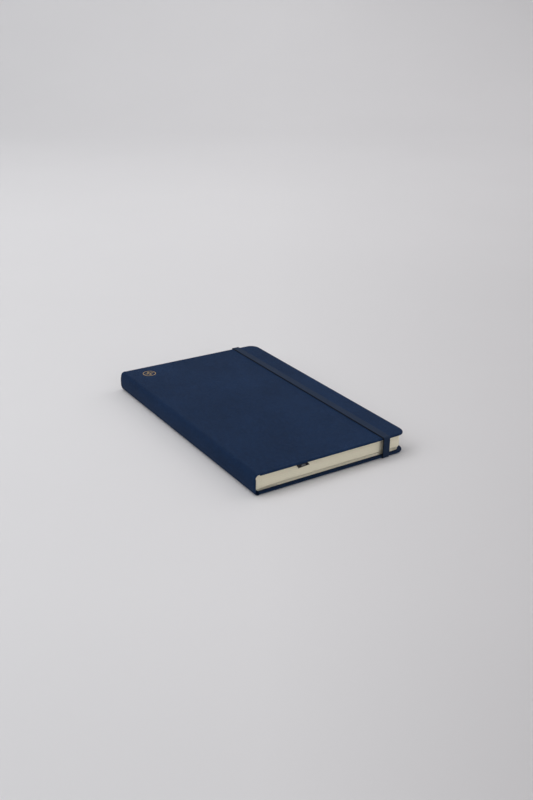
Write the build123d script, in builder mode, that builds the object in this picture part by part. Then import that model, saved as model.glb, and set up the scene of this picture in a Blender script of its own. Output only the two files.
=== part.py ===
from build123d import *
import math
import os

os.makedirs("parts", exist_ok=True)

# Pilot logbook: cloth-covered hardback, sewn book block, back pocket, ribbon
# marker and an elastic closure band.  Millimetres.
# Drawn with the spine's outer face at X = 0 and +X towards the fore-edge, +Y
# from tail to head, +Z up; every piece is moved by -WIDTH / 2 when it is
# written, so that the origin is the bottom centre of the closed book.

# ---------------------------------------------------------------- driving sizes
WIDTH = 130.0            # spine face to fore-edge of the covers
HEIGHT = 210.0           # tail to head of the covers
THICK = 15.7             # closed thickness over both covers
CLOTH = 0.25             # covering cloth
BOARD = 1.0              # greyboard
COVER = BOARD + 2 * CLOTH
PASTE = 0.15             # endpaper
CORNER_R = 8.0           # plan radius of the covers' fore-edge corners
EDGE_R = 1.1             # soft rounding of the covers' outer edges
ROUND_TOP = 3.7          # outer radius of the front joint
ROUND_BOT = 3.0          # outer radius of the back joint
BOARD_GAP = 1.2          # from the joint's end to the board's edge
TURN_IN = 12.0           # cloth turned in over the board's inner face

SQUARE = 3.2             # how far the covers stand out at head and tail
FORE_SQUARE = 1.8        # the same at the fore-edge
BLOCK_H = HEIGHT - 2 * SQUARE
PAGE_R = 5.0             # plan radius of the leaves' fore-edge corners
BLOCK_X0 = 2.3           # backs of the sections
BLOCK_X1 = WIDTH - FORE_SQUARE
Z_MID = THICK / 2        # height at which the book opens flat
HALF = 6                 # sections in each half of the block
SHOULDER = 2.8           # rounding of the block's outer back corners
FLY = 0.12               # flyleaf
LEAF_GAP = 0.03

POCKET_X0 = 14.0         # mouth of the pocket, towards the spine
POCKET_X1 = 127.2
POCKET_Z0 = 0.80         # panel's height over the pastedown at the mouth
POCKET_Z1 = 1.30         # the same at the fore-edge
PANEL = 0.28

BAND_W = 6.2
BAND_T = 0.7
BAND_X = 110.4           # middle of the elastic band
SLOT_Y = 12.0            # slot's distance from the head or tail edge
RIBBON_W = 7.5
RIBBON_T = 0.2
RIBBON_X = 40.3          # where the ribbon leaves the tail edge
EMBLEM = (19.0, 90.2)
EMBLEM_R = 5.6

INSIDE_BOT = COVER + PASTE
INSIDE_TOP = THICK - COVER - PASTE
YH = HEIGHT / 2
BACK_X0 = ROUND_BOT
FRONT_X0 = ROUND_TOP
CHANNEL = BAND_T + 0.06  # depth of the elastic's recess in the back cover

# Block: the underside rises past the spine to clear the pocket's panel
KNEE_X = 13.6
BLOCK_LOW0 = INSIDE_BOT + 0.25
BLOCK_LOWK = INSIDE_BOT + POCKET_Z0 + PANEL + 0.28
BLOCK_LOW1 = INSIDE_BOT + POCKET_Z1 + PANEL + 0.28
FRONT_TOP = INSIDE_TOP - 0.32            # top of the front flyleaf
RIBBON_Z = FRONT_TOP - FLY - LEAF_GAP - RIBBON_T
FRONT_SECTIONS_TOP = RIBBON_Z - LEAF_GAP


def finish(builder, name):
    """Labels one finished piece, moves it to the row's frame and writes it."""
    placed = builder.part.moved(Location((-WIDTH / 2, 0, 0)))
    placed.label = name
    builder.part.label = name
    export_step(placed, f"parts/{name}.step")


def cover_outline(x0, inset, radius):
    """Plan outline of a cover from x0 to the fore-edge, inset on three sides."""
    x1, y1 = WIDTH - inset, YH - inset
    r = max(radius - inset, 0.5)
    with BuildSketch(Plane.XY) as outline:
        with BuildLine():
            Line((x0, -y1), (x1 - r, -y1))
            CenterArc((x1 - r, -y1 + r), r, -90, 90)
            Line((x1, -y1 + r), (x1, y1 - r))
            CenterArc((x1 - r, y1 - r), r, 0, 90)
            Line((x1 - r, y1), (x0, y1))
            Line((x0, y1), (x0, -y1))
        make_face()
    return outline.sketch


# ---------------------------------------------------------------- back cover
with BuildPart() as back_blank:
    with BuildSketch(Plane.XY.offset(CLOTH)):
        add(cover_outline(BACK_X0 + BOARD_GAP, CLOTH, CORNER_R))
    extrude(amount=BOARD)
    fillet(
        back_blank.faces().sort_by(Axis.Z)[0].edges().filter_by(
            lambda e: e.center().X > BACK_X0 + BOARD_GAP + 0.5
        ),
        EDGE_R - CLOTH,
    )

with BuildPart() as back_board:
    add(back_blank.part)
    for side in (1, -1):
        # recess under the elastic's end, its slot, and relief for its tab
        with BuildSketch(Plane.XY.offset(-1)):
            with Locations((BAND_X, side * (YH - SLOT_Y / 2 + 0.8))):
                Rectangle(BAND_W + 0.4, SLOT_Y + 2.8)
        extrude(amount=1 + CHANNEL, mode=Mode.SUBTRACT)
        with BuildSketch(Plane.XY.offset(-1)):
            with Locations((BAND_X, side * (YH - SLOT_Y))):
                Rectangle(BAND_W + 0.4, 1.2)
        extrude(amount=4, mode=Mode.SUBTRACT)
        with BuildSketch(Plane.XY.offset(CLOTH + BOARD - 0.45)):
            with Locations((BAND_X, side * (YH - SLOT_Y - 7.4))):
                Rectangle(BAND_W + 0.4, 15.2)
        extrude(amount=2, mode=Mode.SUBTRACT)
finish(back_board, "back_board")

with BuildPart() as back_cover_cloth:
    with BuildSketch(Plane.XY):
        add(cover_outline(BACK_X0, 0.0, CORNER_R))
    extrude(amount=COVER)
    fillet(
        back_cover_cloth.faces().sort_by(Axis.Z)[0].edges().filter_by(
            lambda e: e.center().X > BACK_X0 + 0.5
        ),
        EDGE_R,
    )
    add(back_blank.part, mode=Mode.SUBTRACT)
    # window inside the turn-ins, and the open side at the joint
    with BuildSketch(Plane.XY.offset(CLOTH + BOARD)):
        with Locations(((WIDTH - TURN_IN + BACK_X0 - 1) / 2, 0)):
            Rectangle(WIDTH - TURN_IN - BACK_X0 + 1, HEIGHT - 2 * TURN_IN)
    extrude(amount=2, mode=Mode.SUBTRACT)
    with BuildSketch(Plane.XY.offset(CLOTH)):
        with Locations((BACK_X0 + (BOARD_GAP - 1) / 2, 0)):
            Rectangle(BOARD_GAP + 1, HEIGHT - 2 * TURN_IN)
    extrude(amount=2, mode=Mode.SUBTRACT)
    for side in (1, -1):
        with BuildSketch(Plane.XY.offset(-1)):
            with Locations((BAND_X, side * (YH - SLOT_Y / 2 + 0.8))):
                Rectangle(BAND_W + 0.4, SLOT_Y + 2.8)
        extrude(amount=1 + CHANNEL, mode=Mode.SUBTRACT)
finish(back_cover_cloth, "back_cover_cloth")

PASTE_INSET = 3.4
with BuildPart() as back_pastedown:
    with BuildSketch(Plane.XY.offset(COVER)):
        add(cover_outline(BACK_X0 + BOARD_GAP, PASTE_INSET, CORNER_R))
    extrude(amount=PASTE)
    with BuildSketch(Plane.XY.offset(CLOTH + BOARD)):
        with Locations(((WIDTH - TURN_IN + BACK_X0 + BOARD_GAP) / 2 - 0.05, 0)):
            Rectangle(
                WIDTH - TURN_IN - BACK_X0 - BOARD_GAP - 0.1,
                HEIGHT - 2 * TURN_IN - 0.2,
            )
    extrude(amount=CLOTH + PASTE)
finish(back_pastedown, "back_pastedown")


# ---------------------------------------------------------------- back pocket
# A stiff paper panel over the back pastedown, open towards the spine.  Folded
# gussets close it at head and tail, and a hem joins it at the fore-edge.
def panel_z(x):
    share = (x - POCKET_X0) / (POCKET_X1 - POCKET_X0)
    return INSIDE_BOT + POCKET_Z0 + share * (POCKET_Z1 - POCKET_Z0)


POCKET_YH = BLOCK_H / 2 - 0.3
with BuildPart() as pocket_panel:
    with BuildSketch(Plane.XZ):
        with BuildLine():
            Polyline(
                (POCKET_X0, panel_z(POCKET_X0)),
                (POCKET_X1, panel_z(POCKET_X1)),
                (POCKET_X1, panel_z(POCKET_X1) + PANEL),
                (POCKET_X0, panel_z(POCKET_X0) + PANEL),
                close=True,
            )
        make_face()
    extrude(amount=POCKET_YH, both=True)
    fillet(
        pocket_panel.edges().filter_by(Axis.Z).group_by(Axis.X)[-1], PAGE_R - 0.8
    )
finish(pocket_panel, "pocket_panel")

GUSSET_W = 9.0
for side, end in ((1, "head"), (-1, "tail")):
    with BuildPart() as gusset:
        with BuildSketch(Plane.XZ.offset(-side * (POCKET_YH - GUSSET_W / 2))):
            with BuildLine():
                x0, x1 = POCKET_X0 + 6.0, POCKET_X1 - 7.6
                Polyline(
                    (x0, INSIDE_BOT + 0.01),
                    (x1, INSIDE_BOT + 0.01),
                    (x1, panel_z(x1) - 0.01),
                    (x0, panel_z(x0) - 0.01),
                    close=True,
                )
            make_face()
        extrude(amount=GUSSET_W / 2, both=True)
        # the pleat's inward fold
        fold_y = side * (POCKET_YH - GUSSET_W + 1.0)
        with BuildSketch(Plane.XZ.offset(-fold_y)):
            with BuildLine():
                Polyline(
                    (x0 - 1, INSIDE_BOT + 0.16),
                    (x1 + 1, INSIDE_BOT + 0.16),
                    (x1 + 1, panel_z(x1 + 1) - 0.16),
                    (x0 + 22, panel_z(x0 + 22) - 0.16),
                    (x0 + 14, INSIDE_BOT + 0.17),
                    close=True,
                )
            make_face()
        extrude(amount=1.6, both=True, mode=Mode.SUBTRACT)
    finish(gusset, f"pocket_gusset_{end}")

with BuildPart() as pocket_hem:
    with BuildSketch(Plane.XZ):
        with BuildLine():
            xa, xb = POCKET_X1 - 7.0, POCKET_X1 - 0.2
            Polyline(
                (xa, INSIDE_BOT + 0.01),
                (xb, INSIDE_BOT + 0.01),
                (xb, panel_z(xb) - 0.01),
                (xa, panel_z(xa) - 0.01),
                close=True,
            )
        make_face()
    extrude(amount=POCKET_YH - PAGE_R - 0.5, both=True)
finish(pocket_hem, "pocket_hem")

# ---------------------------------------------------------------- front cover
with BuildPart() as front_blank:
    with BuildSketch(Plane.XY.offset(THICK - CLOTH - BOARD)):
        add(cover_outline(FRONT_X0 + BOARD_GAP, CLOTH, CORNER_R))
    extrude(amount=BOARD)
    fillet(
        front_blank.faces().sort_by(Axis.Z)[-1].edges().filter_by(
            lambda e: e.center().X > FRONT_X0 + BOARD_GAP + 0.5
        ),
        EDGE_R - CLOTH,
    )
finish(front_blank, "front_board")

with BuildPart() as front_cover_cloth:
    with BuildSketch(Plane.XY.offset(THICK - COVER)):
        add(cover_outline(FRONT_X0, 0.0, CORNER_R))
    extrude(amount=COVER)
    fillet(
        front_cover_cloth.faces().sort_by(Axis.Z)[-1].edges().filter_by(
            lambda e: e.center().X > FRONT_X0 + 0.5
        ),
        EDGE_R,
    )
    add(front_blank.part, mode=Mode.SUBTRACT)
    with BuildSketch(Plane.XY.offset(THICK - COVER - 1)):
        with Locations(((WIDTH - TURN_IN + FRONT_X0 - 1) / 2, 0)):
            Rectangle(WIDTH - TURN_IN - FRONT_X0 + 1, HEIGHT - 2 * TURN_IN)
    extrude(amount=1 + CLOTH, mode=Mode.SUBTRACT)
    with BuildSketch(Plane.XY.offset(THICK - COVER - 1)):
        with Locations((FRONT_X0 + (BOARD_GAP - 1) / 2, 0)):
            Rectangle(BOARD_GAP + 1, HEIGHT - 2 * TURN_IN)
    extrude(amount=COVER + 1 - CLOTH, mode=Mode.SUBTRACT)
finish(front_cover_cloth, "front_cover_cloth")

with BuildPart() as front_pastedown:
    with BuildSketch(Plane.XY.offset(INSIDE_TOP)):
        add(cover_outline(FRONT_X0 + BOARD_GAP, PASTE_INSET, CORNER_R))
    extrude(amount=PASTE)
    with BuildSketch(Plane.XY.offset(INSIDE_TOP)):
        with Locations(((WIDTH - TURN_IN + FRONT_X0 + BOARD_GAP) / 2 - 0.05, 0)):
            Rectangle(
                WIDTH - TURN_IN - FRONT_X0 - BOARD_GAP - 0.1,
                HEIGHT - 2 * TURN_IN - 0.2,
            )
    extrude(amount=CLOTH + PASTE)
finish(front_pastedown, "front_pastedown")

# foil emblem stamped on the front cover: a ring crossed by a four-point star
with BuildPart() as cover_emblem:
    with BuildSketch(Plane.XY.offset(THICK + 0.005)):
        with Locations(EMBLEM):
            Circle(EMBLEM_R - 0.9)
            Circle(EMBLEM_R - 1.25, mode=Mode.SUBTRACT)
    extrude(amount=0.05)
    with BuildSketch(Plane.XY.offset(THICK + 0.005)):
        with BuildLine():
            tips = []
            for k in range(8):
                a = math.radians(45 * k)
                r = EMBLEM_R if k % 2 == 0 else 1.0
                tips.append(
                    (EMBLEM[0] + r * math.cos(a), EMBLEM[1] + r * math.sin(a))
                )
            Polyline(*tips, close=True)
        make_face()
    extrude(amount=0.05)
finish(cover_emblem, "cover_emblem")

# ---------------------------------------------------------------- spine
with BuildPart() as spine_cloth:
    with BuildSketch(Plane.XZ):
        with BuildLine():
            Polyline(
                (0, ROUND_BOT),
                (CLOTH, ROUND_BOT),
                (CLOTH, THICK - ROUND_TOP),
                (0, THICK - ROUND_TOP),
                close=True,
            )
        make_face()
    extrude(amount=YH, both=True)
finish(spine_cloth, "spine_cloth")

STRIP = 0.6
with BuildPart() as spine_strip:
    with BuildSketch(Plane.XZ):
        with BuildLine():
            Polyline(
                (CLOTH, ROUND_BOT + 0.3),
                (CLOTH + STRIP, ROUND_BOT + 0.3),
                (CLOTH + STRIP, THICK - ROUND_TOP - 0.3),
                (CLOTH, THICK - ROUND_TOP - 0.3),
                close=True,
            )
        make_face()
    extrude(amount=YH - CLOTH, both=True)
finish(spine_strip, "spine_strip")

with BuildPart() as back_joint_cloth:
    with BuildSketch(Plane.XZ):
        with BuildLine():
            r = ROUND_BOT
            CenterArc((r, r), r, 180, 90)
            Line((r, 0), (r, CLOTH))
            CenterArc((r, r), r - CLOTH, 270, -90)
            Line((CLOTH, r), (0, r))
        make_face()
    extrude(amount=YH, both=True)
finish(back_joint_cloth, "back_joint_cloth")

with BuildPart() as front_joint_cloth:
    with BuildSketch(Plane.XZ):
        with BuildLine():
            r, zc = ROUND_TOP, THICK - ROUND_TOP
            CenterArc((r, zc), r, 180, -90)
            Line((r, THICK), (r, THICK - CLOTH))
            CenterArc((r, zc), r - CLOTH, 90, 90)
            Line((CLOTH, zc), (0, zc))
        make_face()
    extrude(amount=YH, both=True)
finish(front_joint_cloth, "front_joint_cloth")


# ---------------------------------------------------------------- book block
def back_x(z, low, high):
    """X of the block's back at height z, rounded at its lower or upper end."""
    depth = min(z - low, high - z)
    if depth >= SHOULDER:
        return BLOCK_X0
    depth = max(depth, 0.0)
    inset = SHOULDER - math.sqrt(SHOULDER**2 - (SHOULDER - depth) ** 2)
    return BLOCK_X0 + inset


def leaves(low, high, name):
    """One sewn section: heights at the back, at the knee and at the fore-edge."""
    back = [
        (
            back_x(low[0] + (high[0] - low[0]) * k / 4, BLOCK_LOW0 - 0.15, FRONT_TOP),
            low[0] + (high[0] - low[0]) * k / 4,
        )
        for k in range(5)
    ]
    with BuildPart() as section:
        with BuildSketch(Plane.XZ):
            with BuildLine():
                Polyline(
                    *back,
                    (KNEE_X, high[1]),
                    (BLOCK_X1, high[2]),
                    (BLOCK_X1, low[2]),
                    (KNEE_X, low[1]),
                    close=True,
                )
            make_face()
        extrude(amount=BLOCK_H / 2, both=True)
        fillet(section.edges().filter_by(Axis.Z).group_by(Axis.X)[-1], PAGE_R)
    finish(section, name)


# back half, sections 07 (middle) to 12 (next to the back flyleaf)
UNDER = (BLOCK_LOW0, BLOCK_LOWK, BLOCK_LOW1)
leaves(UNDER, [z + FLY for z in UNDER], "back_flyleaf")
lows = [z + FLY + LEAF_GAP for z in UNDER]
steps = [(Z_MID - z) / HALF for z in lows]
for k in range(HALF):
    leaves(
        [z + k * s for z, s in zip(lows, steps)],
        [z + (k + 1) * s - LEAF_GAP for z, s in zip(lows, steps)],
        f"section_{12 - k:02d}",
    )

# front half, sections 06 (middle) to 01 (next to the front flyleaf)
low = Z_MID + LEAF_GAP
step = (FRONT_SECTIONS_TOP + LEAF_GAP - low) / HALF
for k in range(HALF):
    z0, z1 = low + k * step, low + (k + 1) * step - LEAF_GAP
    leaves([z0] * 3, [z1] * 3, f"section_{6 - k:02d}")
leaves([FRONT_TOP - FLY] * 3, [FRONT_TOP] * 3, "front_flyleaf")

# backbone: sewing threads at five stations and a gauze lining on each half
THREAD = 0.3
LINING = 0.2
LINING_X = 1.7
PIVOT_X = 1.6            # the two halves of the block fold about this line
STATIONS = (-84, -42, 0, 42, 84)
for name, z0, z1 in (
    ("back", Z_MID - 3.6, Z_MID - 0.06),
    ("front", Z_MID + 0.06, Z_MID + 3.6),
):
    with BuildPart() as sewing:
        with BuildSketch(Plane.XY.offset(z0)):
            with Locations(*[(BLOCK_X0 - 0.02 - THREAD / 2, y) for y in STATIONS]):
                Circle(THREAD / 2)
        extrude(amount=z1 - z0)
    finish(sewing, f"{name}_sewing_threads")
    with BuildPart() as lining:
        with BuildSketch(Plane.XZ):
            with BuildLine():
                Polyline(
                    (LINING_X, z0),
                    (LINING_X + LINING, z0),
                    (LINING_X + LINING, z1),
                    (LINING_X, z1),
                    close=True,
                )
            make_face()
        extrude(amount=BLOCK_H / 2 - 2.0, both=True)
    finish(lining, f"{name}_spine_lining")

# ---------------------------------------------------------------- ribbon marker
# Glued to the backbone at the head, it lies over the first section, runs
# slantwise to the tail and hangs a little over the edge of the leaves.
RIB_TOP = (6.0, 100.0)
RIB_BEND_Y = -92.0
RIB_OUT_Y = -103.0
RIB_DROP = 3.1
with BuildPart() as ribbon_marker:
    dx, dy = RIBBON_X - RIB_TOP[0], RIB_BEND_Y - RIB_TOP[1]
    run = math.hypot(dx, dy)
    slant = math.degrees(math.atan2(dx, -dy))
    w = RIBBON_W / 2 / math.cos(math.radians(slant))
    with BuildSketch(Plane.XY.offset(RIBBON_Z)):
        with BuildLine():
            Polyline(
                (RIB_TOP[0] - w + 3, RIB_TOP[1]),
                (RIB_TOP[0] + w + 3, RIB_TOP[1]),
                (RIBBON_X + RIBBON_W / 2, RIB_BEND_Y),
                (RIBBON_X + RIBBON_W / 2, RIB_OUT_Y),
                (RIBBON_X - RIBBON_W / 2, RIB_OUT_Y),
                (RIBBON_X - RIBBON_W / 2, RIB_BEND_Y),
                close=True,
            )
        make_face()
    extrude(amount=RIBBON_T)
    with BuildSketch(Plane.XZ.offset(-RIB_OUT_Y)):
        with Locations((RIBBON_X, RIBBON_Z + RIBBON_T - RIB_DROP / 2)):
            Rectangle(RIBBON_W, RIB_DROP)
    extrude(amount=RIBBON_T)
print("ribbon length", round(run + abs(RIB_OUT_Y - RIB_BEND_Y) + RIB_DROP, 1))
finish(ribbon_marker, "ribbon_marker")

# ---------------------------------------------------------------- elastic band
# One elastic, drawn as the run over the front cover, the two runs round the
# head and tail edges, and the two ends that pass through the back cover.
BAND_IN = YH + 0.12
BAND_OUT = BAND_IN + BAND_T
BAND_TOP = THICK + 0.02 + BAND_T
with BuildPart() as band_front_run:
    with BuildSketch(Plane.YZ.offset(BAND_X)):
        with Locations((0, THICK + 0.02 + BAND_T / 2)):
            Rectangle(2 * BAND_OUT, BAND_T)
    extrude(amount=BAND_W / 2, both=True)
    fillet(
        band_front_run.edges().filter_by(Axis.X).group_by(Axis.Z)[-1], BAND_T - 0.1
    )
finish(band_front_run, "band_front_run")

for side, end in ((1, "head"), (-1, "tail")):
    with BuildPart() as side_run:
        with BuildSketch(Plane.YZ.offset(BAND_X)):
            with Locations((side * (BAND_IN + BAND_T / 2), (THICK + 0.9) / 2)):
                Rectangle(BAND_T, THICK - 0.9)
        extrude(amount=BAND_W / 2, both=True)
    finish(side_run, f"band_side_{end}")
    with BuildPart() as band_end:
        with BuildSketch(Plane.YZ.offset(BAND_X)):
            y_slot = YH - SLOT_Y
            with BuildLine():
                Polyline(
                    (side * (y_slot - 0.35), 0.04),
                    (side * BAND_OUT, 0.04),
                    (side * BAND_OUT, 0.87),
                    (side * BAND_IN, 0.87),
                    (side * BAND_IN, 0.04 + BAND_T),
                    (side * (y_slot + 0.35), 0.04 + BAND_T),
                    (side * (y_slot + 0.35), 1.22),
                    (side * (y_slot - 14.0), 1.22),
                    (side * (y_slot - 14.0), 0.84),
                    (side * (y_slot - 0.35), 0.84),
                    close=True,
                )
            make_face()
        extrude(amount=BAND_W / 2, both=True)
    finish(band_end, f"band_end_{end}")

print("book opens about x", PIVOT_X - WIDTH / 2, "z", Z_MID)
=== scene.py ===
import math
import random

import bmesh
import bpy
from mathutils import Matrix, Vector


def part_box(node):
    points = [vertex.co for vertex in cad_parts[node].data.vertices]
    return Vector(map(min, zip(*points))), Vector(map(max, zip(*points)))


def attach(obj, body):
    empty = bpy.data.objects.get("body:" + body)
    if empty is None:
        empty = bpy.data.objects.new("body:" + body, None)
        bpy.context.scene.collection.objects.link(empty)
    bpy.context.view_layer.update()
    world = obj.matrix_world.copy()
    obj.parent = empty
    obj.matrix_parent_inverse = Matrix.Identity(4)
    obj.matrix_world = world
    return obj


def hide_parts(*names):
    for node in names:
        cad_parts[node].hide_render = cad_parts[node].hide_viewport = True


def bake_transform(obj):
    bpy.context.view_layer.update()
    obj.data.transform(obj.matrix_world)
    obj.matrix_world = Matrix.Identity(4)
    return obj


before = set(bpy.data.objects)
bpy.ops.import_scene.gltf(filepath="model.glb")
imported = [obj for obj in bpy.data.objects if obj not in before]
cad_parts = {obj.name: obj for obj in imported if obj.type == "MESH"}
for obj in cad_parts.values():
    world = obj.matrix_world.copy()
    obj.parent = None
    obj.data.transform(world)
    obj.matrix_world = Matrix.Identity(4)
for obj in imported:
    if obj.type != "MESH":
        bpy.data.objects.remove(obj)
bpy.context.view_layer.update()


MM = 0.001
rng = random.Random(20)


# ------------------------------------------------------------------ CAD sizes
def mm_box(node):
    lo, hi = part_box(node)
    return [c / MM for c in lo], [c / MM for c in hi]


def z_near(node, x_lo, x_hi):
    """Lowest and highest Z, in mm, of a CAD node between two X, in mm."""
    zs = [
        v.co.z / MM
        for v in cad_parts[node].data.vertices
        if x_lo <= v.co.x / MM <= x_hi
    ]
    return min(zs), max(zs)


FC_LO, FC_HI = mm_box("front_cover_cloth")
BC_LO, BC_HI = mm_box("back_cover_cloth")
SP_LO, SP_HI = mm_box("spine_cloth")
FJ_LO, FJ_HI = mm_box("front_joint_cloth")
BJ_LO, BJ_HI = mm_box("back_joint_cloth")
FB_LO, FB_HI = mm_box("front_board")
BB_LO, BB_HI = mm_box("back_board")
ST_LO, ST_HI = mm_box("spine_strip")
X_SPINE = SP_LO[0]          # outer face of the spine
X_FORE = FC_HI[0]
Y_HALF = FC_HI[1]
Z_TOP = FC_HI[2]
COVER_T = FC_HI[2] - FC_LO[2]
CORNER_R = 8.2


# ------------------------------------------------------------------ mesh tools
def new_object(name, verts, faces, materials, face_material=None, sharp=32.0):
    """A mesh object from points in mm in the row frame."""
    mesh = bpy.data.meshes.new(name)
    mesh.from_pydata([(x * MM, y * MM, z * MM) for x, y, z in verts], [], faces)
    mesh.validate()
    for m in materials:
        mesh.materials.append(m)
    if face_material is not None:
        mesh.polygons.foreach_set("material_index", face_material)
    mesh.update()
    bm = bmesh.new()
    bm.from_mesh(mesh)
    bmesh.ops.recalc_face_normals(bm, faces=bm.faces)
    bm.to_mesh(mesh)
    bm.free()
    mesh.polygons.foreach_set("use_smooth", [True] * len(mesh.polygons))
    mesh.set_sharp_from_angle(angle=math.radians(sharp))
    obj = bpy.data.objects.new(name, mesh)
    bpy.context.scene.collection.objects.link(obj)
    return obj


def outline(x0, x1, y_half, r, n=10):
    """Cover-like plan outline, from the spine side of the tail round to the head."""
    r = max(r, 0.15)
    pts = [(x0, -y_half)]
    for k in range(1, 5):
        pts.append((x0 + (x1 - r - x0) * k / 5, -y_half))
    for k in range(n + 1):
        a = -math.pi / 2 + math.pi / 2 * k / n
        pts.append((x1 - r + r * math.cos(a), -y_half + r + r * math.sin(a)))
    for k in range(1, 8):
        pts.append((x1, -y_half + r + (2 * y_half - 2 * r) * k / 8))
    for k in range(n + 1):
        a = math.pi / 2 * k / n
        pts.append((x1 - r + r * math.cos(a), y_half - r + r * math.sin(a)))
    for k in range(1, 5):
        pts.append((x1 - r + (x0 - x1 + r) * k / 5, y_half))
    pts.append((x0, y_half))
    return pts


def edge_profile(t, r_out=1.25, r_in=0.45):
    """(inset, height over the inner face) round the edge of a wrapped board."""
    profile = [(14.0, 0.0), (3.0, 0.0), (r_in + 0.35, 0.0)]
    for k in range(0, 4):
        a = math.pi / 2 * k / 3
        profile.append((r_in - r_in * math.sin(a), r_in - r_in * math.cos(a)))
    rv = min(r_out, t - r_in)
    for k in range(0, 8):
        a = math.pi / 2 * k / 7
        profile.append((r_out - r_out * math.cos(a), t - rv + rv * math.sin(a)))
    profile += [(r_out + 0.35, t), (3.0, t), (14.0, t)]
    return profile


def wrapped_cover(name, x0, x1, y_half, z_in, z_out, material):
    """A cloth-wrapped board: rounded outer edge, slightly softened inner edge."""
    s = 1 if z_out > z_in else -1
    profile = edge_profile(abs(z_out - z_in))
    verts, faces = [], []
    rings = []
    for inset, h in profile:
        ring = []
        for x, y in outline(x0, x1 - inset, y_half - inset, CORNER_R - inset):
            ring.append(len(verts))
            verts.append((x, y, z_in + s * h))
        rings.append(ring)
    n = len(rings[0])
    for a, b in zip(rings, rings[1:]):
        for i in range(n - 1):
            faces.append((a[i], a[i + 1], b[i + 1], b[i]))
    faces.append(tuple(rings[0]))
    faces.append(tuple(rings[-1]))
    faces.append(tuple([r[0] for r in rings]))
    faces.append(tuple([r[-1] for r in rings]))
    # the spine end, closed across the board's thickness
    left = [r[0] for r in rings] + [r[-1] for r in reversed(rings)]
    faces = faces[:-2] + [tuple(left)]
    return new_object(name, verts, faces, [material])


def cut_boxes(obj, boxes):
    """Takes boxes, given in mm as (low, high), out of a closed piece."""
    for lo, hi in boxes:
        mesh = bpy.data.meshes.new("cutter")
        v = [(x * MM, y * MM, z * MM) for x in (lo[0], hi[0]) for y in (lo[1], hi[1])
             for z in (lo[2], hi[2])]
        mesh.from_pydata(v, [], [(0, 1, 3, 2), (4, 6, 7, 5), (0, 4, 5, 1), (2, 3, 7, 6),
                                 (0, 2, 6, 4), (1, 5, 7, 3)])
        cutter = bpy.data.objects.new("cutter", mesh)
        bpy.context.scene.collection.objects.link(cutter)
        mod = obj.modifiers.new("cut", "BOOLEAN")
        mod.operation = "DIFFERENCE"
        mod.solver = "EXACT"
        mod.object = cutter
        graph = bpy.context.evaluated_depsgraph_get()
        cut = bpy.data.meshes.new_from_object(obj.evaluated_get(graph))
        obj.modifiers.clear()
        old = obj.data
        obj.data = cut
        bpy.data.meshes.remove(old)
        bpy.data.objects.remove(cutter)
        bpy.data.meshes.remove(mesh)
    obj.data.polygons.foreach_set("use_smooth", [True] * len(obj.data.polygons))
    obj.data.set_sharp_from_angle(angle=math.radians(32.0))


# ------------------------------------------------------------------ materials
def node_material(name):
    m = bpy.data.materials.new(name)
    m.use_nodes = True
    t = m.node_tree
    bsdf = t.nodes["Principled BSDF"]
    return m, t, bsdf


def add(t, kind, **inputs):
    node = t.nodes.new(kind)
    for k, v in inputs.items():
        if k in ("operation", "blend_type", "data_type", "noise_dimensions",
                 "wave_type", "bands_direction", "wave_profile", "feature",
                 "interpolation_type", "clamp_factor", "distance"):
            setattr(node, k, v)
        else:
            node.inputs[k.replace("_", " ")].default_value = v
    return node


def link(t, a, b):
    t.links.new(a, b)


def math_node(t, op, a, b=None, c=None):
    node = t.nodes.new("ShaderNodeMath")
    node.operation = op
    for i, v in enumerate((a, b, c)):
        if v is None:
            continue
        if isinstance(v, (int, float)):
            node.inputs[i].default_value = v
        else:
            link(t, v, node.inputs[i])
    return node.outputs[0]


def noise(t, vector, scale, detail=2.0, rough=0.5, distortion=0.0):
    node = t.nodes.new("ShaderNodeTexNoise")
    node.inputs["Scale"].default_value = scale
    node.inputs["Detail"].default_value = detail
    node.inputs["Roughness"].default_value = rough
    node.inputs["Distortion"].default_value = distortion
    link(t, vector, node.inputs["Vector"])
    return node.outputs["Fac"]


def ramp(t, fac, stops):
    node = t.nodes.new("ShaderNodeValToRGB")
    e = node.color_ramp.elements
    while len(e) > 1:
        e.remove(e[-1])
    e[0].position, e[0].color = stops[0][0], (*stops[0][1], 1)
    for p, c in stops[1:]:
        x = e.new(p)
        x.color = (*c, 1)
    link(t, fac, node.inputs["Fac"])
    return node.outputs["Color"]


def mix_color(t, fac, a, b, blend="MIX"):
    node = t.nodes.new("ShaderNodeMix")
    node.data_type = "RGBA"
    node.blend_type = blend
    for socket, v in ((node.inputs[0], fac), (node.inputs[6], a), (node.inputs[7], b)):
        if isinstance(v, (int, float)):
            socket.default_value = v
        elif isinstance(v, tuple):
            socket.default_value = (*v, 1) if len(v) == 3 else v
        else:
            link(t, v, socket)
    return node.outputs[2]


def bump(t, bsdf, height, strength, distance=0.0001):
    node = t.nodes.new("ShaderNodeBump")
    node.inputs["Strength"].default_value = strength
    node.inputs["Distance"].default_value = distance
    link(t, height, node.inputs["Height"])
    link(t, node.outputs["Normal"], bsdf.inputs["Normal"])
    return node


def object_xyz(t):
    """The piece's own coordinates, in mm, and their X, Y, Z."""
    tc = t.nodes.new("ShaderNodeTexCoord")
    sc = t.nodes.new("ShaderNodeVectorMath")
    sc.operation = "SCALE"
    sc.inputs["Scale"].default_value = 1000.0
    link(t, tc.outputs["Object"], sc.inputs[0])
    sep = t.nodes.new("ShaderNodeSeparateXYZ")
    link(t, sc.outputs[0], sep.inputs[0])
    return sc.outputs[0], sep.outputs[0], sep.outputs[1], sep.outputs[2]


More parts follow.
